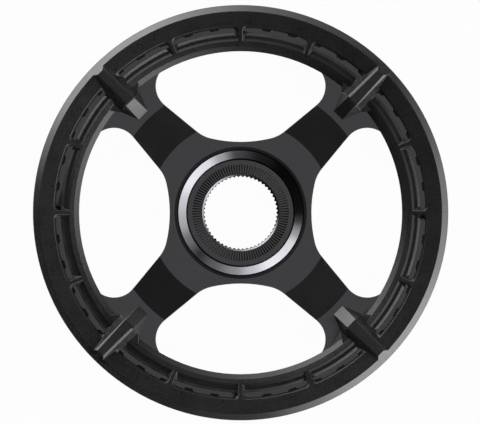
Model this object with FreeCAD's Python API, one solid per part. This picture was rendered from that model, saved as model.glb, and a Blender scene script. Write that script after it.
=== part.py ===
import FreeCAD, Part
import math
import os

# Bicycle chainring with a double chain guard. All lengths are in millimetres.
# The axis of the ring is Z, the outboard face looks up, and the inner guard lies on z = 0.

# Chain and teeth
tooth_count = 44
chain_pitch = 12.7
chain_width = 7.0
chain_side_clearance = 0.4
chain_plate_reach = 4.9
roller_seat_radius = 3.93
roller_seat_facets = 3
tooth_flank_angle = 18.0
tooth_height = 3.6

# Plate, arms and windows of the chainring
arm_count = 4
plate_thickness = 2.3
arm_rise = 5.0
pad_inner_radius = 61.5
land_outer_radius = 42.9
arm_root_half_width = 16.31
arm_taper_angle = 5.55
window_inner_reach = 33.1
window_inner_arc = 61.0
window_inner_fillet = 16.0
window_outer_fillet = 11.5

# Hub
hub_radius = 31.0
hub_rear_height = 0.5
spline_count = 54
spline_tip_radius = 16.6
spline_root_radius = 17.4
pilot_radius = 18.0
pilot_length = 2.0
mouth_radius = 18.4
mouth_run = 0.95
mouth_drop = 0.65
serration_count = 108
serration_outer_radius = 22.5
serration_depth = 0.5
seat_outer_radius = 24.7
seat_corner_run = 0.7
seat_corner_drop = 1.1
recess_cone_radius = 29.3
recess_cone_angle = 40.0
recess_edge_drop = 0.4
recess_edge_run = 1.6

# Outer guard
guard_overhang = 1.7
bevel_run = 2.5
band_run = 2.2
band_drop = 0.85
crest_run = 1.3
ledge_run = 1.4
ledge_depth = 0.75
ledge_fall = 0.3
skirt_run = 1.4
slot_width = 2.3
slot_edge_run = 0.8
flange_edge_thickness = 1.4
flange_run = 6.8
flange_dish_angle = 14.5
rim_run = 3.0
rim_angle = 42.0
station_count = 16
rib_width = 1.75
rib_draft_angle = 33.0
finger_reach = 11.1
finger_ramp_run = 9.2
finger_height = 7.1
finger_inner_width = 5.9
finger_outer_width = 4.7
finger_draft_angle = 28.0
gusset_height = 1.3
gusset_angle = 45.0
gusset_step = 0.25
gusset_overlap = 2.0

# Inner guard
inner_guard_thickness = 2.0
inner_guard_setback = 0.5
lug_width = 9.0
lug_reach = 4.5
lug_root_run = 3.5

# Guard screws
screw_inset = 3.1
screw_flats = 8
screw_diameter = 3.0
screw_length = 8.5
screw_head_width = 5.5
screw_head_height = 1.9
screw_hole_clearance = 0.25
screw_thread_clearance = 0.05
screw_end_gap = 0.4

# Room by which cutting tools run past what they cut
overcut = 5.0


def tangent(angle):
    return math.tan(math.radians(angle))


# Radii that follow from the chain
tooth_step = 360.0 / tooth_count
pitch_radius = chain_pitch / (2.0 * math.sin(math.pi / tooth_count))
tooth_tip_radius = pitch_radius + tooth_height
skirt_radius = pitch_radius - chain_plate_reach
ledge_outer_radius = skirt_radius - skirt_run
ledge_inner_radius = ledge_outer_radius - ledge_run
crest_radius = ledge_inner_radius - crest_run
band_inner_radius = crest_radius - band_run
guard_bore_radius = band_inner_radius - bevel_run
slot_outer_radius = skirt_radius + slot_width
flange_inner_radius = slot_outer_radius + slot_edge_run
rim_top_radius = flange_inner_radius + flange_run
guard_radius = rim_top_radius + rim_run
window_outer_radius = guard_bore_radius + guard_overhang
finger_inner_radius = guard_bore_radius - finger_reach
ramp_top_radius = finger_inner_radius + finger_ramp_run
screw_circle_radius = guard_bore_radius - screw_inset

# Heights, upwards from the rear face of the inner guard
tooth_mid = inner_guard_thickness + chain_side_clearance + chain_width / 2.0
plate_rear = tooth_mid - plate_thickness / 2.0
plate_front = tooth_mid + plate_thickness / 2.0
land_front = plate_front + arm_rise
recess_corner_radius = seat_outer_radius + seat_corner_run
recess_cone_top = land_front - recess_edge_drop
recess_cone_depth = (recess_cone_radius - recess_corner_radius) * tangent(recess_cone_angle)
seat_height = recess_cone_top - recess_cone_depth - seat_corner_drop
flange_underside = tooth_mid + chain_width / 2.0 + chain_side_clearance
finger_top = plate_front + finger_height
screw_tip_height = inner_guard_thickness + screw_length


def dish_height(radius):
    # Front of the flange and of the ribs, which lie on one shallow cone
    start = flange_underside + flange_edge_thickness
    return start + (radius - flange_inner_radius) * tangent(flange_dish_angle)


rim_bottom = dish_height(rim_top_radius) - rim_run * tangent(rim_angle)
crest_height = dish_height(crest_radius)
band_inner_height = crest_height - band_drop
ledge_height = crest_height - ledge_depth
finger_widening = finger_height * tangent(finger_draft_angle)

origin = FreeCAD.Vector(0, 0, 0)
axis = FreeCAD.Vector(0, 0, 1)


def closed_wire(points):
    return Part.makePolygon(points + points[:1])


def turned(profile):
    # Solid of revolution from a closed outline of (radius, height) pairs
    points = [FreeCAD.Vector(radius, 0, height) for radius, height in profile]
    return Part.Face(closed_wire(points)).revolve(origin, axis, 360)


def polar(radius, angle, height=0.0):
    turn = math.radians(angle)
    return FreeCAD.Vector(radius * math.cos(turn), radius * math.sin(turn), height)


def prism(wire, bottom, top):
    face = Part.Face(wire)
    face.translate(FreeCAD.Vector(0, 0, bottom))
    return face.extrude(FreeCAD.Vector(0, 0, top - bottom))


def block_between(lower, upper):
    # Solid with flat sides between two outlines that have as many corners
    faces = [Part.Face(closed_wire(lower)), Part.Face(closed_wire(upper))]
    for index in range(len(lower)):
        side = [lower[index - 1], lower[index], upper[index], upper[index - 1]]
        faces.append(Part.Face(closed_wire(side)))
    return Part.Solid(Part.makeShell(faces))


def pattern(shape, count, first_angle):
    copies = []
    for index in range(count):
        copy = shape.copy()
        copy.rotate(origin, axis, first_angle + index * 360.0 / count)
        copies.append(copy)
    return copies


def at_arms(shape):
    # One copy on the middle line of each arm, from a shape that lies about +X
    return pattern(shape, arm_count, 180.0 / arm_count)


def screw_rod(radius, bottom, top):
    # A round bar or hole of the guard screws, with few flats because it repeats
    corner_radius = radius / math.cos(math.pi / screw_flats)
    centre = FreeCAD.Vector(screw_circle_radius, 0, 0)
    corners = [polar(corner_radius, 360.0 / screw_flats * index) + centre for index in range(screw_flats)]
    return prism(closed_wire(corners), bottom, top)


def tooth_outline():
    # A faceted roller seat, two straight flanks and a short crown for each tooth
    flank = math.radians(tooth_flank_angle)
    seat_turn = 180.0 - 2.0 * tooth_flank_angle
    seat_points = []
    for index in range(roller_seat_facets + 1):
        turn = 180.0 - seat_turn / 2.0 + seat_turn * index / roller_seat_facets
        seat_points.append(polar(roller_seat_radius, -turn) + FreeCAD.Vector(pitch_radius, 0, 0))
    last = seat_points[-1]
    along = last.x * math.cos(flank) + last.y * math.sin(flank)
    reach = math.sqrt(along ** 2 + tooth_tip_radius ** 2 - last.dot(last)) - along
    tip = last + FreeCAD.Vector(math.cos(flank), math.sin(flank), 0) * reach
    half_gap = [FreeCAD.Vector(tip.x, -tip.y, 0)] + seat_points + [tip]
    points = []
    for index in range(tooth_count):
        turn = FreeCAD.Rotation(axis, index * tooth_step)
        points += [turn.multVec(point) for point in half_gap]
    return closed_wire(points)


def window_outline():
    # The window lies about +X: a flat inner arc, two straight arm edges and the ring's arc
    slope = math.radians(180.0 / arm_count - arm_taper_angle)
    inward = FreeCAD.Vector(math.cos(slope), -math.sin(slope), 0)
    outward = FreeCAD.Vector(math.sin(slope), math.cos(slope), 0)

    outer_offset = arm_root_half_width + window_outer_fillet
    outer_reach = window_outer_radius - window_outer_fillet
    outer_centre = inward * outer_offset + outward * math.sqrt(outer_reach ** 2 - outer_offset ** 2)
    outer_arm = outer_centre - inward * window_outer_fillet
    outer_ring = outer_centre * (window_outer_radius / outer_reach)
    outer_middle = (outer_arm + outer_ring) * 0.5 - outer_centre
    outer_middle = outer_centre + outer_middle.normalize() * window_outer_fillet

    arc_centre = FreeCAD.Vector(window_inner_reach + window_inner_arc, 0, 0)
    foot = inward * (arm_root_half_width + window_inner_fillet) - arc_centre
    span = window_inner_arc - window_inner_fillet
    half = foot.dot(outward)
    shift = -half - math.sqrt(half ** 2 - foot.dot(foot) + span ** 2)
    inner_centre = arc_centre + foot + outward * shift
    inner_arm = inner_centre - inward * window_inner_fillet
    inner_hub = arc_centre + (inner_centre - arc_centre) * (window_inner_arc / span)
    inner_middle = (inner_arm + inner_hub) * 0.5 - inner_centre
    inner_middle = inner_centre + inner_middle.normalize() * window_inner_fillet

    def mirrored(point):
        return FreeCAD.Vector(point.x, -point.y, point.z)

    hub_point = FreeCAD.Vector(window_inner_reach, 0, 0)
    ring_point = FreeCAD.Vector(window_outer_radius, 0, 0)
    edges = [
        Part.Arc(mirrored(inner_hub), hub_point, inner_hub).toShape(),
        Part.Arc(inner_hub, inner_middle, inner_arm).toShape(),
        Part.makeLine(inner_arm, outer_arm),
        Part.Arc(outer_arm, outer_middle, outer_ring).toShape(),
        Part.Arc(outer_ring, ring_point, mirrored(outer_ring)).toShape(),
        Part.Arc(mirrored(outer_ring), mirrored(outer_middle), mirrored(outer_arm)).toShape(),
        Part.makeLine(mirrored(outer_arm), mirrored(inner_arm)),
        Part.Arc(mirrored(inner_arm), mirrored(inner_middle), mirrored(inner_hub)).toShape(),
    ]
    return Part.Wire(edges)


def spline_outline():
    # Outline of the shaft's spline, which is cut out of the hub
    step = 360.0 / spline_count
    points = []
    for index in range(spline_count):
        points.append(polar(spline_tip_radius, index * step))
        points.append(polar(spline_root_radius, (index + 0.5) * step))
    return closed_wire(points)


def mouth_tool():
    # Chamfer of the mouth, with one flat side under each tooth of the lock face
    step = 360.0 / serration_count

    def corners(rise):
        height = seat_height + rise
        radius = mouth_radius + rise * mouth_run / mouth_drop
        return [polar(radius, (index + 0.5) * step, height) for index in range(serration_count)]

    return block_between(corners(-mouth_drop), corners(overcut))


def serration_tool():
    # The lock face's radial teeth: planes that all meet in one point of the axis
    step = 360.0 / serration_count
    apex = FreeCAD.Vector(0, 0, seat_height)
    top = seat_height + overcut
    rim = []
    for index in range(serration_count):
        rim.append(polar(serration_outer_radius, index * step, seat_height))
        rim.append(polar(serration_outer_radius, (index + 0.5) * step, seat_height - serration_depth))
    upper = [FreeCAD.Vector(point.x, point.y, top) for point in rim]
    faces = [Part.Face(closed_wire(upper))]
    for index in range(len(rim)):
        near, far = rim[index - 1], rim[index]
        faces.append(Part.Face(closed_wire([apex, near, far])))
        faces.append(Part.Face(closed_wire([near, far, upper[index], upper[index - 1]])))
    return Part.Solid(Part.makeShell(faces))


def chainring():
    blank = turned([
        (0.0, hub_rear_height),
        (hub_radius, hub_rear_height),
        (hub_radius, plate_rear),
        (tooth_tip_radius + overcut, plate_rear),
        (tooth_tip_radius + overcut, plate_front),
        (pad_inner_radius, plate_front),
        (land_outer_radius, land_front),
        (recess_cone_radius + recess_edge_run, land_front),
        (recess_cone_radius, recess_cone_top),
        (recess_corner_radius, seat_height + seat_corner_drop),
        (seat_outer_radius, seat_height),
        (0.0, seat_height),
    ])
    low = hub_rear_height - overcut
    high = land_front + overcut
    ring = blank.common(prism(tooth_outline(), low, high))
    for window in pattern(prism(window_outline(), low, high), arm_count, 0.0):
        ring = ring.cut(window)
    ring = ring.cut(at_arms(screw_rod(screw_diameter / 2.0 + screw_hole_clearance, low, high)))

    pilot = Part.makeCylinder(pilot_radius, pilot_length + overcut, FreeCAD.Vector(0, 0, low))
    ring = ring.cut(prism(spline_outline(), low, high))
    ring = ring.cut([mouth_tool(), pilot])
    return ring.cut(serration_tool())


def slot_tool():
    # One slot between two stations, about +X, with ends that slope down from the ribs' tops
    half_step = 180.0 / station_count
    low = plate_front
    high = dish_height(rim_top_radius)

    def corners(height):
        points = []
        for reach in (crest_radius - overcut, rim_top_radius):
            half = rib_width / 2.0 + (dish_height(reach) - height) * tangent(rib_draft_angle)
            points.append(polar(reach, half_step, height) + polar(half, half_step - 90.0))
        return points + [FreeCAD.Vector(point.x, -point.y, point.z) for point in reversed(points)]

    wedge = block_between(corners(low), corners(high))
    edge_slope = slot_edge_run / flange_edge_thickness
    region = turned([
        (skirt_radius, low),
        (slot_outer_radius, low),
        (slot_outer_radius, flange_underside),
        (slot_outer_radius + (high - flange_underside) * edge_slope, high),
        (crest_radius, high),
        (crest_radius, crest_height),
        (ledge_inner_radius, ledge_height),
        (ledge_outer_radius, ledge_height - ledge_fall),
    ])
    return wedge.common(region)


def finger_half_width(radius):
    # Half the width of a finger's top, which tapers from its foot to the rim
    share = (radius - finger_inner_radius) / (guard_radius - finger_inner_radius)
    return (finger_inner_width + (finger_outer_width - finger_inner_width) * share) / 2.0


def gusset():
    # Low block about +X that leads the ring's inner bevel round to the sides of a finger
    near = ramp_top_radius - gusset_overlap
    far = band_inner_radius + gusset_step
    root = finger_half_width(ramp_top_radius) + finger_widening + gusset_step
    bevel_slope = (band_inner_height - plate_front) / bevel_run
    inset = gusset_height / bevel_slope / math.cos(math.radians(gusset_angle))

    def corners(height, narrower):
        points = []
        for radius in (near, far):
            half = root + (radius - ramp_top_radius) * tangent(gusset_angle) - narrower
            points.append(FreeCAD.Vector(radius, half, height))
        return points + [FreeCAD.Vector(point.x, -point.y, point.z) for point in reversed(points)]

    return block_between(corners(plate_front, 0.0), corners(plate_front + gusset_height, inset))


def finger():
    # One long finger about +X, from the rim in over the ring to the arm
    def corner(radius, side, height, extra=0.0):
        return FreeCAD.Vector(radius, side * (finger_half_width(radius) + extra), height)

    feet = [corner(finger_inner_radius, side, plate_front) for side in (1, -1)]
    shoulders = [corner(ramp_top_radius, side, finger_top) for side in (1, -1)]
    roots = [corner(ramp_top_radius, side, plate_front, finger_widening) for side in (1, -1)]
    outer_tops = [corner(guard_radius, side, finger_top) for side in (1, -1)]
    outer_roots = [corner(guard_radius, side, plate_front, finger_widening) for side in (1, -1)]
    outlines = [
        [feet[0], feet[1], shoulders[1], shoulders[0]],
        [shoulders[0], shoulders[1], outer_tops[1], outer_tops[0]],
        [outer_tops[0], outer_tops[1], outer_roots[1], outer_roots[0]],
        [feet[0], feet[1], roots[1], outer_roots[1], outer_roots[0], roots[0]],
    ]
    for side in (0, 1):
        outlines.append([feet[side], shoulders[side], roots[side]])
        outlines.append([shoulders[side], outer_tops[side], outer_roots[side], roots[side]])
    body = Part.Solid(Part.makeShell([Part.Face(closed_wire(outline)) for outline in outlines]))
    slope = tangent(rim_angle)
    rim_cone = turned([
        (0.0, plate_front),
        (skirt_radius, plate_front),
        (skirt_radius, flange_underside),
        (guard_radius, flange_underside),
        (guard_radius, rim_bottom),
        (guard_radius - (finger_top + overcut - rim_bottom) / slope, finger_top + overcut),
        (0.0, finger_top + overcut),
    ])
    return body.common(rim_cone)


def outer_guard():
    body = turned([
        (guard_bore_radius, plate_front),
        (skirt_radius, plate_front),
        (skirt_radius, flange_underside),
        (guard_radius, flange_underside),
        (guard_radius, rim_bottom),
        (rim_top_radius, dish_height(rim_top_radius)),
        (crest_radius, crest_height),
        (band_inner_radius, band_inner_height),
    ])
    body = body.cut(pattern(slot_tool(), station_count, 180.0 / station_count))
    body = body.fuse(at_arms(finger()) + at_arms(gusset())).removeSplitter()
    thread_radius = screw_diameter / 2.0 + screw_thread_clearance
    thread = screw_rod(thread_radius, plate_front - overcut, screw_tip_height + screw_end_gap)
    return body.cut(at_arms(thread))


def inner_guard():
    inner = guard_bore_radius + inner_guard_setback
    outer = guard_radius - inner_guard_setback
    ring = turned([
        (inner, 0.0),
        (outer, 0.0),
        (outer, inner_guard_thickness),
        (inner, inner_guard_thickness),
    ])
    lug_start = screw_circle_radius - lug_reach
    lug = Part.makeBox(
        inner + lug_root_run - lug_start,
        lug_width,
        plate_rear - inner_guard_thickness,
        FreeCAD.Vector(lug_start, -lug_width / 2.0, inner_guard_thickness),
    )
    ring = ring.fuse(at_arms(lug)).removeSplitter()
    hole = screw_rod(screw_diameter / 2.0 + screw_hole_clearance, -overcut, plate_rear + overcut)
    return ring.cut(at_arms(hole))


def guard_screw():
    shank = screw_rod(screw_diameter / 2.0, inner_guard_thickness, screw_tip_height)
    centre = FreeCAD.Vector(screw_circle_radius, 0, 0)
    corners = [polar(screw_head_width / math.sqrt(3.0), 60.0 * index) + centre for index in range(6)]
    head = prism(closed_wire(corners), inner_guard_thickness - screw_head_height, inner_guard_thickness)
    return shank.fuse(head)


def main():
    nodes = {
        "chainring": chainring(),
        "outer_guard": outer_guard(),
        "inner_guard": inner_guard(),
        "guard_screws": Part.makeCompound(at_arms(guard_screw())),
    }
    os.makedirs("parts", exist_ok=True)
    for name, shape in nodes.items():
        shape.exportStep("parts/" + name + ".step")
        print(name, "solids", len(shape.Solids), "volume", round(shape.Volume, 1), "valid", shape.isValid())


main()
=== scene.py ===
import bmesh
import bpy
import math
import mathutils
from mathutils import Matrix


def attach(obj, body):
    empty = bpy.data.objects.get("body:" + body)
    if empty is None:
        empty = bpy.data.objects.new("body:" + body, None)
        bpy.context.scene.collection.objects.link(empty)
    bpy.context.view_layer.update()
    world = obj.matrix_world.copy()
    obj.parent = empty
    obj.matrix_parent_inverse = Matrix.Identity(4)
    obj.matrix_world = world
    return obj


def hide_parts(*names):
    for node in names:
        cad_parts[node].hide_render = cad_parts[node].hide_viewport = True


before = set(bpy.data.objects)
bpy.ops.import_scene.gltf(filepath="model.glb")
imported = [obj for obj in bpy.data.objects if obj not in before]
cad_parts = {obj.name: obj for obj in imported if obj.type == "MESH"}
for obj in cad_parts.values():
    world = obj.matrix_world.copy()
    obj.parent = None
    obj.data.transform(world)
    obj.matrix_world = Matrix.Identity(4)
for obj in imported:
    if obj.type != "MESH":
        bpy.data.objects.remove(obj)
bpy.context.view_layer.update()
print("frame loaded:", ", ".join(sorted(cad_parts)))

mm = 0.001
noiseLow, noiseHigh = 0.3, 0.7  # range in which nearly all of a noise lies
noiseRoughness = 0.55


# Node helpers

def newMaterial(name):
    material = bpy.data.materials.new(name)
    material.use_nodes = True
    nodes = material.node_tree.nodes
    nodes.clear()
    output = nodes.new("ShaderNodeOutputMaterial")
    return material, material.node_tree, output


def addNode(tree, kind, **settings):
    node = tree.nodes.new(kind)
    for key, value in settings.items():
        setattr(node, key, value)
    return node


def addMath(tree, operation, first, second):
    node = addNode(tree, "ShaderNodeMath", operation=operation)
    for socket, value in zip(node.inputs, (first, second)):
        if isinstance(value, (int, float)):
            socket.default_value = value
        else:
            tree.links.new(value, socket)
    return node.outputs[0]


def addRange(tree, value, fromLow, fromHigh, toLow, toHigh):
    node = addNode(tree, "ShaderNodeMapRange")
    tree.links.new(value, node.inputs["Value"])
    limits = {"From Min": fromLow, "From Max": fromHigh, "To Min": toLow, "To Max": toHigh}
    for name, number in limits.items():
        node.inputs[name].default_value = number
    return node.outputs["Result"]


def addNoise(tree, vector, scale, detail):
    node = addNode(tree, "ShaderNodeTexNoise")
    node.inputs["Scale"].default_value = scale
    node.inputs["Detail"].default_value = detail
    node.inputs["Roughness"].default_value = noiseRoughness
    tree.links.new(vector, node.inputs["Vector"])
    return node.outputs["Fac"]


def addBump(tree, height, strength, distance):
    node = addNode(tree, "ShaderNodeBump")
    node.inputs["Strength"].default_value = strength
    node.inputs["Distance"].default_value = distance
    tree.links.new(height, node.inputs["Height"])
    return node.outputs["Normal"]


def mixColours(tree, factor, first, second):
    node = addNode(tree, "ShaderNodeMix", data_type="RGBA")
    tree.links.new(factor, node.inputs["Factor"])
    for socket, colour in zip([s for s in node.inputs if s.type == "RGBA"], (first, second)):
        socket.default_value = (*colour, 1.0)
    return [s for s in node.outputs if s.type == "RGBA"][0]


def objectPlace(tree):
    return addNode(tree, "ShaderNodeTexCoord").outputs["Object"]


def axisRadius(tree, place):
    flat = addNode(tree, "ShaderNodeVectorMath", operation="MULTIPLY")
    flat.inputs[1].default_value = (1.0, 1.0, 0.0)
    tree.links.new(place, flat.inputs[0])
    length = addNode(tree, "ShaderNodeVectorMath", operation="LENGTH")
    tree.links.new(flat.outputs["Vector"], length.inputs[0])
    return length.outputs["Value"]


# Moulded black plastic of the two guards

plastic = {
    "dark": (0.012, 0.012, 0.0121),
    "light": (0.027, 0.027, 0.0272),
    "specular": 0.75,
    "roughLow": 0.27,
    "roughHigh": 0.35,
    "grainScale": 1500.0,
    "grainDetail": 2.0,
    "grainDepth": 0.05 * mm,
    "grainStrength": 0.8,
    "grainShare": 0.7,
    "mottleLow": 0.38,
    "mottleHigh": 0.62,
    "flowScale": 90.0,
    "flowDetail": 4.0,
}
rimPlastic = dict(  # smoother bevel of the rim
    plastic,
    dark=(0.006, 0.006, 0.006),
    light=(0.012, 0.012, 0.012),
    specular=1.0,
    roughLow=0.17,
    roughHigh=0.23,
    grainDepth=0.03 * mm,
)
slopePlastic = dict(plastic, specular=0.4)  # duller slope inside the slots


def makePlastic(name, look):
    material, tree, output = newMaterial(name)
    place = objectPlace(tree)
    grain = addNoise(tree, place, look["grainScale"], look["grainDetail"])
    flow = addNoise(tree, place, look["flowScale"], look["flowDetail"])
    fine = addMath(tree, "MULTIPLY", grain, look["grainShare"])
    broad = addMath(tree, "MULTIPLY", flow, 1.0 - look["grainShare"])
    both = addMath(tree, "ADD", fine, broad)
    mottle = addRange(tree, both, look["mottleLow"], look["mottleHigh"], 0.0, 1.0)
    shader = addNode(tree, "ShaderNodeBsdfPrincipled")
    tree.links.new(mixColours(tree, mottle, look["dark"], look["light"]), shader.inputs["Base Color"])
    rough = addRange(tree, mottle, 0.0, 1.0, look["roughLow"], look["roughHigh"])
    tree.links.new(rough, shader.inputs["Roughness"])
    shader.inputs["Specular IOR Level"].default_value = look["specular"]
    bump = addBump(tree, grain, look["grainStrength"], look["grainDepth"])
    tree.links.new(bump, shader.inputs["Normal"])
    tree.links.new(shader.outputs["BSDF"], output.inputs["Surface"])
    return material


# Satin black metal of the ring, with a fine even grain

satin = {
    "dark": (0.190, 0.190, 0.202),
    "light": (0.230, 0.230, 0.245),
    "roughLow": 0.17,
    "roughHigh": 0.22,
    "grainScale": 2600.0,
    "grainDetail": 2.0,
    "grainDepth": 0.02 * mm,
    "grainStrength": 0.25,
    "flowScale": 60.0,
    "flowDetail": 4.0,
}
grooveShade = dict(  # painted shade: a darker copy of the satin metal on the walls of the lock face's grooves and on the step at the mouth
    satin,
    dark=(0.028, 0.028, 0.029),
    light=(0.044, 0.044, 0.045),
    roughLow=0.36,
    roughHigh=0.46,
)
cornerShade = dict(  # painted shade: a near black copy on the turned corners at both ends of the recess's cone
    grooveShade,
    dark=(0.006, 0.006, 0.006),
    light=(0.010, 0.010, 0.010),
)


def makeSatin(name, look):
    material, tree, output = newMaterial(name)
    place = objectPlace(tree)
    grain = addNoise(tree, place, look["grainScale"], look["grainDetail"])
    flow = addNoise(tree, place, look["flowScale"], look["flowDetail"])
    shader = addNode(tree, "ShaderNodeBsdfPrincipled")
    colour = mixColours(tree, flow, look["dark"], look["light"])
    tree.links.new(colour, shader.inputs["Base Color"])
    shader.inputs["Metallic"].default_value = 1.0
    rough = addRange(tree, flow, noiseLow, noiseHigh, look["roughLow"], look["roughHigh"])
    tree.links.new(rough, shader.inputs["Roughness"])
    bump = addBump(tree, grain, look["grainStrength"], look["grainDepth"])
    tree.links.new(bump, shader.inputs["Normal"])
    tree.links.new(shader.outputs["BSDF"], output.inputs["Surface"])
    return material


# Polished cone of the hub's recess, with fine turning rings

polish = {
    "dark": (0.180, 0.180, 0.193),
    "light": (0.228, 0.228, 0.245),
    "roughLow": 0.10,
    "roughHigh": 0.18,
    "ringScale": 9000.0,
    "ringDetail": 2.0,
    "ringDepth": 0.002 * mm,
    "ringStrength": 0.2,
}


def makePolish():
    material, tree, output = newMaterial("polishedCone")
    place = objectPlace(tree)
    radius = axisRadius(tree, place)
    rings = addNode(tree, "ShaderNodeTexNoise", noise_dimensions="1D")
    rings.inputs["Scale"].default_value = polish["ringScale"]
    rings.inputs["Detail"].default_value = polish["ringDetail"]
    tree.links.new(radius, rings.inputs["W"])
    turned = rings.outputs["Fac"]
    shader = addNode(tree, "ShaderNodeBsdfPrincipled")
    tree.links.new(mixColours(tree, turned, polish["dark"], polish["light"]), shader.inputs["Base Color"])
    shader.inputs["Metallic"].default_value = 1.0
    rough = addRange(tree, turned, noiseLow, noiseHigh, polish["roughLow"], polish["roughHigh"])
    tree.links.new(rough, shader.inputs["Roughness"])
    bump = addBump(tree, turned, polish["ringStrength"], polish["ringDepth"])
    tree.links.new(bump, shader.inputs["Normal"])
    tree.links.new(shader.outputs["BSDF"], output.inputs["Surface"])
    return material


# Zinc plated screws

zinc = {
    "dark": (0.30, 0.30, 0.31),
    "light": (0.44, 0.44, 0.45),
    "roughLow": 0.28,
    "roughHigh": 0.5,
    "speckScale": 900.0,
    "speckDetail": 4.0,
    "speckDepth": 0.01 * mm,
    "speckStrength": 0.2,
}


def makeZinc():
    material, tree, output = newMaterial("zincPlate")
    place = objectPlace(tree)
    speck = addNoise(tree, place, zinc["speckScale"], zinc["speckDetail"])
    shader = addNode(tree, "ShaderNodeBsdfPrincipled")
    tree.links.new(mixColours(tree, speck, zinc["dark"], zinc["light"]), shader.inputs["Base Color"])
    shader.inputs["Metallic"].default_value = 1.0
    rough = addRange(tree, speck, noiseLow, noiseHigh, zinc["roughLow"], zinc["roughHigh"])
    tree.links.new(rough, shader.inputs["Roughness"])
    bump = addBump(tree, speck, zinc["speckStrength"], zinc["speckDepth"])
    tree.links.new(bump, shader.inputs["Normal"])
    tree.links.new(shader.outputs["BSDF"], output.inputs["Surface"])
    return material


# Pieces: merged copies of the solids, with broken edges and smooth round faces

# Faces that meet at less than smoothBelow degrees look round, and edges nearer to the axis than
# outside stay unbroken
edgeBreak = {
    "chainring": {"width": 0.12 * mm, "segments": 2, "smoothBelow": 14.0, "outside": 24.0 * mm},
    "outer_guard": {"width": 0.22 * mm, "segments": 2, "smoothBelow": 6.5, "outside": 0.0},
    "inner_guard": {"width": 0.35 * mm, "segments": 3, "smoothBelow": 14.0, "outside": 0.0},
    "guard_screws": {"width": 0.15 * mm, "segments": 2, "smoothBelow": 14.0, "outside": 0.0},
}
leastBrokenEdge = 0.5 * mm
brokenEdgeAngle = math.radians(16.0)
weldDistance = 0.002 * mm
flatAngle = math.radians(0.4)
sectorCount = 8  # flat faces are joined sector by sector, so that none closes round a hole


def joinFlatFaces(bm):
    bmesh.ops.remove_doubles(bm, verts=bm.verts, dist=weldDistance)
    for face in bm.faces:
        place = face.calc_center_median()
        turns = math.atan2(place.y, place.x) / math.tau + 1.0
        face.material_index = int(turns * sectorCount) % sectorCount
    bmesh.ops.dissolve_limit(
        bm, angle_limit=flatAngle, verts=bm.verts, edges=bm.edges, delimit={"MATERIAL"},
    )
    for face in bm.faces:
        face.material_index = 0


def mergedCopy(node, name, shapeEdges=None):
    mesh = bpy.data.meshes.new(name)
    bm = bmesh.new()
    bm.from_mesh(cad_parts[node].data)
    joinFlatFaces(bm)
    if shapeEdges:
        shapeEdges(bm)
    limit = math.radians(edgeBreak[node]["smoothBelow"])
    weight = bm.edges.layers.float.new("bevel_weight_edge")
    for face in bm.faces:
        face.smooth = True
    for edge in bm.edges:
        turn = edge.calc_face_angle(math.pi)
        outside = all(radiusOf(v) > edgeBreak[node]["outside"] for v in edge.verts)
        edge.smooth = turn < limit
        if turn > brokenEdgeAngle and outside and edge.calc_length() > leastBrokenEdge:
            edge[weight] = 1.0
    bm.to_mesh(mesh)
    bm.free()
    piece = bpy.data.objects.new(name, mesh)
    bpy.context.collection.objects.link(piece)
    return piece


def roundEdges(bm, edges, offset, segments, offsetType="OFFSET"):
    bmesh.ops.bevel(
        bm, geom=edges, offset=offset, offset_type=offsetType, segments=segments, profile=0.5,
        affect="EDGES", clamp_overlap=False, material=-1,
    )
    bm.normal_update()


def radiusOf(vert):
    return math.hypot(vert.co.x, vert.co.y)


# Rounded corners and lips of the outer guard's slots, shoulders and chamfers of its fingers
slots = {
    "innerRadius": 86.0 * mm,
    "outerRadius": 87.6 * mm,
    "wallHeight": 0.5 * mm,
    "cornerAngle": math.radians(30.0),
    "cornerRound": 1.6 * mm,
    "cornerSegments": 8,
    "flatAngle": math.radians(9.0),
    "weld": 0.01 * mm,
    "lipInner": 79.9 * mm,
    "lipOuter": 93.5 * mm,
    "lipRound": 0.20 * mm,
    "lipSegments": 4,
    "shoulderHeight": 14.1 * mm,
    "shoulderOuter": 75.0 * mm,
    "shoulderAngle": math.radians(20.0),
    "shoulderRound": 0.8 * mm,
    "shoulderSegments": 5,
    "flankLength": 12.0 * mm,
    "flankAngle": math.radians(30.0),
    "flankChamfer": 0.9 * mm,
    "dishLow": 0.92,  # how far the faces on either side of a lip look up
    "dishHigh": 0.974,
    "wallHigh": 0.88,
}


def clearFlatEdges(bm, verts):
    around = [e for e in bm.edges if len(e.link_faces) == 2 and any(v in verts for v in e.verts)]
    flat = [e for e in around if e.calc_face_angle() < slots["flatAngle"]]
    bmesh.ops.dissolve_edges(bm, edges=flat, use_verts=False, use_face_split=False)
    bm.normal_update()


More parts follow.
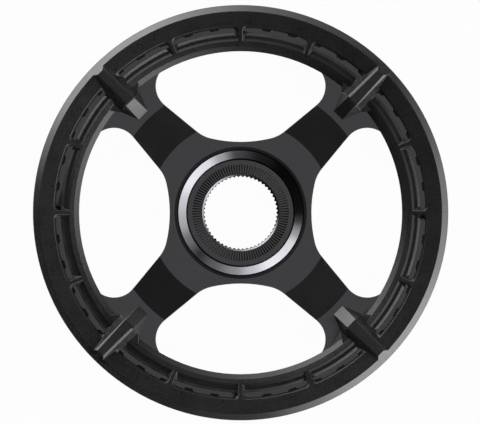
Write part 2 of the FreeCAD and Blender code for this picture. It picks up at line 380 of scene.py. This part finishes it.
def shapeSlots(bm):
    bm.normal_update()
    corners = []
    for edge in bm.edges:
        inside = all(slots["innerRadius"] < radiusOf(v) < slots["outerRadius"] for v in edge.verts)
        steep = abs(edge.verts[0].co.z - edge.verts[1].co.z) > slots["wallHeight"]
        sharp = edge.calc_face_angle(0.0) > slots["cornerAngle"]
        if inside and steep and sharp and not edge.is_convex:
            corners.append(edge)
    clearFlatEdges(bm, {v for e in corners for v in e.verts})
    roundEdges(bm, corners, slots["cornerRound"], slots["cornerSegments"])
    bmesh.ops.remove_doubles(bm, verts=bm.verts, dist=slots["weld"])
    lips = []
    for edge in bm.edges:
        if len(edge.link_faces) != 2 or not edge.is_convex:
            continue
        inside = all(slots["lipInner"] < radiusOf(v) < slots["lipOuter"] for v in edge.verts)
        low, high = sorted(face.normal.z for face in edge.link_faces)
        if inside and slots["dishLow"] < high < slots["dishHigh"] and abs(low) < slots["wallHigh"]:
            lips.append(edge)
    roundEdges(bm, lips, slots["lipRound"], slots["lipSegments"])
    shoulders = []
    for edge in bm.edges:
        top = all(v.co.z > slots["shoulderHeight"] for v in edge.verts)
        inside = all(radiusOf(v) < slots["shoulderOuter"] for v in edge.verts)
        if top and inside and edge.calc_face_angle(0.0) > slots["shoulderAngle"]:
            shoulders.append(edge)
    roundEdges(bm, shoulders, slots["shoulderRound"], slots["shoulderSegments"])
    flanks = []
    for edge in bm.edges:
        top = all(v.co.z > slots["shoulderHeight"] for v in edge.verts)
        sharp = edge.calc_face_angle(0.0) > slots["flankAngle"]
        if top and sharp and edge.calc_length() > slots["flankLength"]:
            flanks.append(edge)
    roundEdges(bm, flanks, slots["flankChamfer"], 1)
    print("slots shaped:", len(corners), "corners,", len(lips), "lip edges")
    print("fingers shaped:", len(shoulders), "shoulders,", len(flanks), "flanks")


# Narrow flat lands along the crests of the lock face's radial teeth
lands = {
    "innerRadius": 18.0 * mm,
    "outerRadius": 22.7 * mm,
    "leastLength": 2.0 * mm,
    "levelWithin": 0.01 * mm,
    "crestAngle": math.radians(30.0),
    "width": 0.60 * mm,
}


def shapeLands(bm):
    bm.normal_update()
    crests = []
    for edge in bm.edges:
        inside = all(lands["innerRadius"] < radiusOf(v) < lands["outerRadius"] for v in edge.verts)
        level = abs(edge.verts[0].co.z - edge.verts[1].co.z) < lands["levelWithin"]
        sharp = edge.calc_face_angle(0.0) > lands["crestAngle"]
        long = edge.calc_length() > lands["leastLength"]
        if inside and level and sharp and long and edge.is_convex:
            crests.append(edge)
    roundEdges(bm, crests, lands["width"], 1, "WIDTH")
    print("lands cut:", len(crests))


# Mouth of the bore: a step inside the lands (painted dark with the groove shade), a bright chamfer, the
# sloping ends of the spline
mouth = {
    "innerRadius": 16.4 * mm,
    "splineRadius": 17.42 * mm,
    "flatRadius": 17.6 * mm,
    "chamferRadius": 17.55 * mm,
    "stepRadius": 17.92 * mm,
    "outerRadius": 18.45 * mm,
    "lockReach": 22.0 * mm,
    "depth": 0.6 * mm,
    "flatNormal": 0.99,
    "stepAngle": 52.0,  # these three in degrees from level
    "chamferAngle": 34.0,
    "leadAngle": 45.0,
}


def onChamferSide(edge):
    low, high = sorted(radiusOf(v) for v in edge.verts)
    return mouth["splineRadius"] < low < mouth["flatRadius"] < high < mouth["outerRadius"]


def shapeMouth(bm):
    stepSlope = math.tan(math.radians(mouth["stepAngle"]))
    chamferSlope = math.tan(math.radians(mouth["chamferAngle"]))
    leadSlope = math.tan(math.radians(mouth["leadAngle"]))
    landTop = max(v.co.z for v in bm.verts if mouth["innerRadius"] < radiusOf(v) < mouth["outerRadius"])
    stepFoot = landTop - (mouth["outerRadius"] - mouth["stepRadius"]) * stepSlope
    foot = stepFoot - (mouth["stepRadius"] - mouth["chamferRadius"]) * chamferSlope

    def aboveStep(place):
        reach = math.hypot(place.x, place.y)
        return place.z - landTop + (mouth["outerRadius"] - reach) * stepSlope

    def atMouth(vert):
        inside = mouth["innerRadius"] < radiusOf(vert) < mouth["outerRadius"]
        return inside and vert.co.z > landTop - mouth["depth"]

    flats = [f for f in bm.faces if f.normal.z > mouth["flatNormal"] and all(atMouth(v) for v in f.verts)]
    flats = [f for f in flats if all(radiusOf(v) < mouth["flatRadius"] for v in f.verts)]
    bmesh.ops.triangulate(bm, faces=flats, quad_method="BEAUTY", ngon_method="BEAUTY")
    sides = [e for e in bm.edges if all(atMouth(v) for v in e.verts) and onChamferSide(e)]
    cut = bmesh.ops.subdivide_edges(bm, edges=sides, cuts=1, use_grid_fill=True)
    stepPoints = {v for v in cut["geom_inner"] if isinstance(v, bmesh.types.BMVert)}
    ends = [v for v in bm.verts if atMouth(v) and v not in stepPoints]
    for vert in stepPoints:
        vert.co.xy = vert.co.xy * (mouth["stepRadius"] / radiusOf(vert))
        vert.co.z = stepFoot
    for vert in ends:
        far = [e.other_vert(vert) for e in vert.link_edges]
        far = [v for v in far if radiusOf(v) > mouth["lockReach"]]
        if far:  # end of a land or of a groove, drawn back to the step
            near, beyond = aboveStep(vert.co), aboveStep(far[0].co)
            vert.co = vert.co.lerp(far[0].co, near / (near - beyond))
            continue
        reach = radiusOf(vert)
        if reach > mouth["splineRadius"]:
            vert.co.xy = vert.co.xy * (mouth["chamferRadius"] / reach)
            reach = mouth["chamferRadius"]
        vert.co.z = foot - (mouth["chamferRadius"] - reach) * leadSlope
    bm.normal_update()
    print("mouth shaped:", len(ends), "ends,", len(stepPoints), "step points")


# Broken outer edge of the recess's cone
coneEdge = {
    "innerRadius": 29.2 * mm,
    "outerRadius": 29.4 * mm,
    "leastHeight": 9.0 * mm,
    "round": 0.35 * mm,
    "segments": 2,
}


def shapeConeEdge(bm):
    rounded = []
    for edge in bm.edges:
        onCircle = all(coneEdge["innerRadius"] < radiusOf(v) < coneEdge["outerRadius"] for v in edge.verts)
        if onCircle and all(v.co.z > coneEdge["leastHeight"] for v in edge.verts):
            rounded.append(edge)
    roundEdges(bm, rounded, coneEdge["round"], coneEdge["segments"])
    print("cone edge broken:", len(rounded), "edges")


def shapeHub(bm):
    shapeLands(bm)
    shapeMouth(bm)
    shapeConeEdge(bm)


def breakEdges(piece, node):
    modifier = piece.modifiers.new("brokenEdges", "BEVEL")
    modifier.width = edgeBreak[node]["width"]
    modifier.segments = edgeBreak[node]["segments"]
    modifier.limit_method = "WEIGHT"
    modifier.use_clamp_overlap = False
    modifier.harden_normals = True
    modifier.miter_outer = "MITER_ARC"


def showPiece(node, name, materials, shapeEdges=None):
    piece = mergedCopy(node, name, shapeEdges)
    for material in materials:
        piece.data.materials.append(material)
    breakEdges(piece, node)
    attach(piece, "root")
    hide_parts(node)
    print("made", name, len(piece.data.polygons), "faces")
    return piece


# Zones of the chainring's faces: 0 satin, 1 polish, 2 painted groove shade, 3 painted corner shade
chainringZones = {
    "tiltLow": 0.3,
    "tiltHigh": 0.95,
    "stepTilt": 0.72,
    "coneInner": 25.4 * mm,
    "coneOuter": 29.0 * mm,
    "coneEdgeOuter": 29.5 * mm,
    "mouthInner": 16.5 * mm,
    "stepInner": 17.9 * mm,
    "mouthOuter": 18.6 * mm,
    "lockOuter": 22.6 * mm,
    "seatOuter": 24.6 * mm,
}


def paintChainring(piece):
    for face in piece.data.polygons:
        radius = math.hypot(face.center.x, face.center.y)
        tilted = chainringZones["tiltLow"] < face.normal.z < chainringZones["tiltHigh"]
        steep = face.normal.z < chainringZones["stepTilt"]
        onCone = chainringZones["coneInner"] < radius < chainringZones["coneOuter"]
        onMouth = chainringZones["mouthInner"] < radius < chainringZones["mouthOuter"]
        onStep = steep and chainringZones["stepInner"] < radius < chainringZones["mouthOuter"]
        onLock = chainringZones["mouthOuter"] < radius < chainringZones["lockOuter"]
        onCorner = chainringZones["seatOuter"] < radius < chainringZones["coneInner"]
        onConeEdge = chainringZones["coneOuter"] < radius < chainringZones["coneEdgeOuter"]
        # index 3 paints shade onto the corners at both ends of the recess's cone
        if tilted and (onCorner or onConeEdge):
            face.material_index = 3
        # index 2 paints shade onto the lock face's groove walls and the mouth's step
        elif tilted and (onStep or onLock):
            face.material_index = 2
        elif tilted and (onCone or onMouth):
            face.material_index = 1


# Zones of the outer guard's faces: 0 grained, 1 smooth rim, 2 slope inside the slots
guardZones = {
    "rimInner": 94.0 * mm,
    "rimLow": 0.6,
    "rimHigh": 0.85,
    "slopeInner": 80.1 * mm,
    "slopeOuter": 81.6 * mm,
    "slopeLow": 0.84,
    "slopeHigh": 0.89,
}


def paintGuard(piece):
    for face in piece.data.polygons:
        radius = math.hypot(face.center.x, face.center.y)
        onRim = radius > guardZones["rimInner"]
        onSlope = guardZones["slopeInner"] < radius < guardZones["slopeOuter"]
        if onRim and guardZones["rimLow"] < face.normal.z < guardZones["rimHigh"]:
            face.material_index = 1
        elif onSlope and guardZones["slopeLow"] < face.normal.z < guardZones["slopeHigh"]:
            face.material_index = 2


# Flat flares that lead the inner ring's band to the sides of each finger
flares = {
    "count": 4,
    "firstAngle": 45.0,
    "nearRadius": 71.4 * mm,
    "farRadius": 78.05 * mm,
    "nearHalf": 4.6 * mm,
    "farHalf": 11.25 * mm,
    "bottom": 7.05 * mm,
    "top": 8.42 * mm,
    "inset": 0.7 * mm,
    "round": 0.25 * mm,
    "segments": 3,
}


def makeFlares():
    bm = bmesh.new()
    for index in range(flares["count"]):
        block = bmesh.ops.create_cube(bm, size=2.0)["verts"]  # half sides of 1, scaled below
        for vert in block:
            near = vert.co.x < 0.0
            high = vert.co.z > 0.0
            half = flares["nearHalf"] if near else flares["farHalf"]
            vert.co.x = flares["nearRadius"] if near else flares["farRadius"]
            vert.co.y *= half - (flares["inset"] if high else 0.0)
            vert.co.z = flares["top"] if high else flares["bottom"]
        turn = math.radians(flares["firstAngle"] + 360.0 / flares["count"] * index)
        spun = mathutils.Matrix.Rotation(turn, 3, "Z")
        bmesh.ops.rotate(bm, verts=block, cent=(0.0, 0.0, 0.0), matrix=spun)
    rims = [e for e in bm.edges if all(v.co.z > flares["bottom"] for v in e.verts)]
    roundEdges(bm, rims, flares["round"], flares["segments"])
    mesh = bpy.data.meshes.new("fingerFlares")
    bm.to_mesh(mesh)
    bm.free()
    piece = bpy.data.objects.new("fingerFlares", mesh)
    bpy.context.collection.objects.link(piece)
    mesh.materials.append(plasticLook)
    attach(piece, "root")
    print("made fingerFlares", len(mesh.polygons), "faces")


plasticLook = makePlastic("mouldedPlastic", plastic)
rimLook = makePlastic("smoothRimPlastic", rimPlastic)
slopeLook = makePlastic("slopePlastic", slopePlastic)
satinLook = makeSatin("satinBlackMetal", satin)
grooveShadeLook = makeSatin("lockFaceGrooveShade", grooveShade)
cornerShadeLook = makeSatin("turnedCornerShade", cornerShade)
polishLook = makePolish()
zincLook = makeZinc()

ringLooks = [satinLook, polishLook, grooveShadeLook, cornerShadeLook]
paintChainring(showPiece("chainring", "chainringBody", ringLooks, shapeHub))
guardLooks = [plasticLook, rimLook, slopeLook]
paintGuard(showPiece("outer_guard", "outerGuardMoulding", guardLooks, shapeSlots))
makeFlares()
showPiece("inner_guard", "innerGuardMoulding", [plasticLook])
showPiece("guard_screws", "guardScrewSet", [zincLook])


# Floor and background

stage = {
    "floorHalf": 4.0,
    "floorGap": 0.1 * mm,
    "floorColour": (0.9, 0.9, 0.9),
    "backgroundColour": (1.0, 1.0, 1.0),
    "backgroundWhite": 1.0,
    "backgroundShare": 0.97,
}


def addLightPathMask(tree):
    path = addNode(tree, "ShaderNodeLightPath")
    shown = addMath(tree, "MAXIMUM", path.outputs["Is Camera Ray"], path.outputs["Is Glossy Ray"])
    return addMath(tree, "MAXIMUM", shown, path.outputs["Is Transmission Ray"])


def makeFloor():
    bm = bmesh.new()
    bmesh.ops.create_grid(bm, x_segments=1, y_segments=1, size=stage["floorHalf"])
    bmesh.ops.translate(bm, verts=bm.verts, vec=(0.0, 0.0, -stage["floorGap"]))
    mesh = bpy.data.meshes.new("floor")
    bm.to_mesh(mesh)
    bm.free()
    floor = bpy.data.objects.new("floor", mesh)
    bpy.context.collection.objects.link(floor)
    material, tree, output = newMaterial("paleFloor")
    diffuse = addNode(tree, "ShaderNodeBsdfDiffuse")
    diffuse.inputs["Color"].default_value = (*stage["floorColour"], 1.0)
    glow = addNode(tree, "ShaderNodeEmission")
    glow.inputs["Strength"].default_value = stage["backgroundWhite"]
    mix = addNode(tree, "ShaderNodeMixShader")
    share = addMath(tree, "MULTIPLY", addLightPathMask(tree), stage["backgroundShare"])
    tree.links.new(share, mix.inputs["Fac"])
    tree.links.new(diffuse.outputs["BSDF"], mix.inputs[1])
    tree.links.new(glow.outputs["Emission"], mix.inputs[2])
    oneSided = addNode(tree, "ShaderNodeMixShader")  # from below, the rear shows through the floor
    under = addNode(tree, "ShaderNodeNewGeometry").outputs["Backfacing"]
    tree.links.new(under, oneSided.inputs["Fac"])
    tree.links.new(mix.outputs["Shader"], oneSided.inputs[1])
    tree.links.new(addNode(tree, "ShaderNodeBsdfTransparent").outputs["BSDF"], oneSided.inputs[2])
    tree.links.new(oneSided.outputs["Shader"], output.inputs["Surface"])
    mesh.materials.append(material)


# Studio light: a soft band of light round the horizon, brightest at upper left and lower right,
# a small soft light overhead and a faint fill from above. Each pair of the band is a direction in
# degrees from +X and a radiance, and each light is full and gone at the stated elevations.
studio = {
    "band": [
        (-180, 0.02), (-135, 0.01), (-110, 0.05), (-85, 0.28), (-70, 1.7), (-55, 3.7), (-30, 4.2),
        (-10, 2.8), (8, 2.0), (28, 0.75), (45, 0.15), (62, 0.5), (85, 1.25), (100, 2.6), (120, 4.2),
        (148, 3.5), (160, 1.5), (172, 0.2), (180, 0.02),
    ],
    "bandPeak": 5.0,
    "bandFull": 24.0,
    "bandGone": 44.0,
    "fill": 0.05,
    "fillFull": 60.0,
    "fillGone": 20.0,
    "overhead": 0.19,
    "overheadFull": 84.0,
    "overheadGone": 66.0,
    "colour": (0.985, 0.985, 0.985),
}


def makeWorld():
    world = bpy.data.worlds.new("studio")
    bpy.context.scene.world = world
    world.use_nodes = True
    tree = world.node_tree
    tree.nodes.clear()
    output = addNode(tree, "ShaderNodeOutputWorld")
    direction = addNode(tree, "ShaderNodeSeparateXYZ")
    tree.links.new(addNode(tree, "ShaderNodeTexCoord").outputs["Generated"], direction.inputs[0])
    azimuth = addMath(tree, "ARCTAN2", direction.outputs["Y"], direction.outputs["X"])
    turn = addRange(tree, azimuth, -math.pi, math.pi, 0.0, 1.0)
    ramp = addNode(tree, "ShaderNodeValToRGB")
    ramp.color_ramp.interpolation = "EASE"
    stops = ramp.color_ramp.elements
    while len(stops) < len(studio["band"]):
        stops.new(0.5)  # placed in the next lines
    for stop, (angle, _) in zip(stops, studio["band"]):
        stop.position = (angle + 180.0) / 360.0
    for stop, (_, radiance) in zip(stops, studio["band"]):
        level = radiance / studio["bandPeak"]
        stop.color = (level, level, level, 1.0)
    tree.links.new(turn, ramp.inputs["Fac"])
    band = addMath(tree, "MULTIPLY", ramp.outputs["Color"], studio["bandPeak"])

    def heightMask(fullAt, goneAt):
        full = math.sin(math.radians(fullAt))
        gone = math.sin(math.radians(goneAt))
        node = addNode(tree, "ShaderNodeMapRange", interpolation_type="SMOOTHSTEP")
        tree.links.new(direction.outputs["Z"], node.inputs["Value"])
        low, high = min(full, gone), max(full, gone)
        node.inputs["From Min"].default_value = low
        node.inputs["From Max"].default_value = high
        node.inputs["To Min"].default_value = 1.0 if full < gone else 0.0
        node.inputs["To Max"].default_value = 0.0 if full < gone else 1.0
        return node.outputs["Result"]

    sides = addMath(tree, "MULTIPLY", band, heightMask(studio["bandFull"], studio["bandGone"]))
    overheadMask = heightMask(studio["overheadFull"], studio["overheadGone"])
    above = addMath(tree, "MULTIPLY", overheadMask, studio["overhead"])
    fill = addMath(tree, "MULTIPLY", heightMask(studio["fillFull"], studio["fillGone"]), studio["fill"])
    light = addMath(tree, "ADD", addMath(tree, "ADD", sides, above), fill)
    lit = addNode(tree, "ShaderNodeBackground")
    lit.inputs["Color"].default_value = (*studio["colour"], 1.0)
    tree.links.new(light, lit.inputs["Strength"])
    white = addNode(tree, "ShaderNodeBackground")
    white.inputs["Color"].default_value = (*stage["backgroundColour"], 1.0)
    white.inputs["Strength"].default_value = stage["backgroundWhite"]
    mix = addNode(tree, "ShaderNodeMixShader")
    path = addNode(tree, "ShaderNodeLightPath")
    tree.links.new(path.outputs["Is Camera Ray"], mix.inputs["Fac"])
    tree.links.new(lit.outputs["Background"], mix.inputs[1])
    tree.links.new(white.outputs["Background"], mix.inputs[2])
    tree.links.new(mix.outputs["Shader"], output.inputs["Surface"])


# Camera straight in front of the ring, far off with a long lens

photo = {
    "width": 480,
    "height": 424,
    "axisX": 240.6,
    "axisY": 212.7,
    "pixel": 0.467 * mm,
    "distance": 6.0,
    "sensor": 36.0,
    "focusHeight": 10.0 * mm,
    "clipNear": 0.1,
    "clipFar": 100.0,
}


def makeCamera():
    data = bpy.data.cameras.new("photoCamera")
    data.sensor_width = photo["sensor"]
    viewWidth = photo["width"] * photo["pixel"]
    data.lens = photo["sensor"] * photo["distance"] / viewWidth
    data.clip_start = photo["clipNear"]
    data.clip_end = photo["clipFar"]
    camera = bpy.data.objects.new("photoCamera", data)
    aside = (photo["width"] / 2 - photo["axisX"]) * photo["pixel"]
    above = (photo["axisY"] - photo["height"] / 2) * photo["pixel"]
    camera.location = (aside, above, photo["focusHeight"] + photo["distance"])
    bpy.context.collection.objects.link(camera)
    bpy.context.scene.camera = camera


makeFloor()
makeWorld()
makeCamera()
bpy.context.scene.view_settings.view_transform = "Standard"
print("stage, lights and camera set")

bpy.context.view_layer.update()
